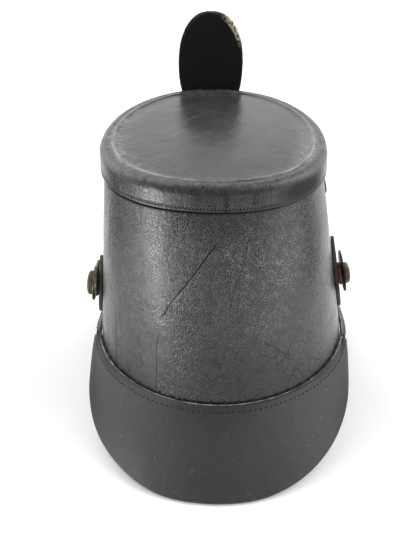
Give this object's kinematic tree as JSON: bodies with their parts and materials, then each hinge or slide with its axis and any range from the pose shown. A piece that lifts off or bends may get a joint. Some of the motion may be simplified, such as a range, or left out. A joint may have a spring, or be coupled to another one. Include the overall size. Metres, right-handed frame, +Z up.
{
  "type": "shako hat",
  "caption": "Tapered black leather shako with a lid-like crown, front and neck peaks, side rosettes, chin strap and an oval field badge.",
  "frame": {"origin": "bottom centre of the hat's box, on the ground that the two peaks rest on", "axes": "+Z up, +Y towards the wearer's front, +X towards the wearer's right"},
  "size_m": [0.1846, 0.3082, 0.238],
  "materials": {
    "varnished_leather": "black varnish, crazed and worn, half gloss",
    "peak_leather": "black smooth leather, satin",
    "strap_leather": "dark brown worn leather",
    "badge_cloth": "black felted cloth, matte",
    "dark_iron": "dark oxidised metal",
    "tarnished_brass": "dull grey green tarnish",
    "rusty_knob": "brown pitted tarnish",
    "red_ring": "worn red paint"
  },
  "bodies": {
    "root": {"shell": "varnished_leather", "crown": "varnished_leather", "neck_peak": "peak_leather", "front_peak": "peak_leather", "chin_strap": "strap_leather", "field_badge": "badge_cloth", "badge_stem": "dark_iron", "badge_loop": "varnished_leather", "left_vent": "dark_iron", "right_vent": "dark_iron", "left_disc": "tarnished_brass", "left_rosette_plate": "tarnished_brass", "left_knob": "rusty_knob", "right_ring": "red_ring", "right_rosette_plate": "dark_iron", "right_knob": "tarnished_brass"}
  },
  "joints": []
}
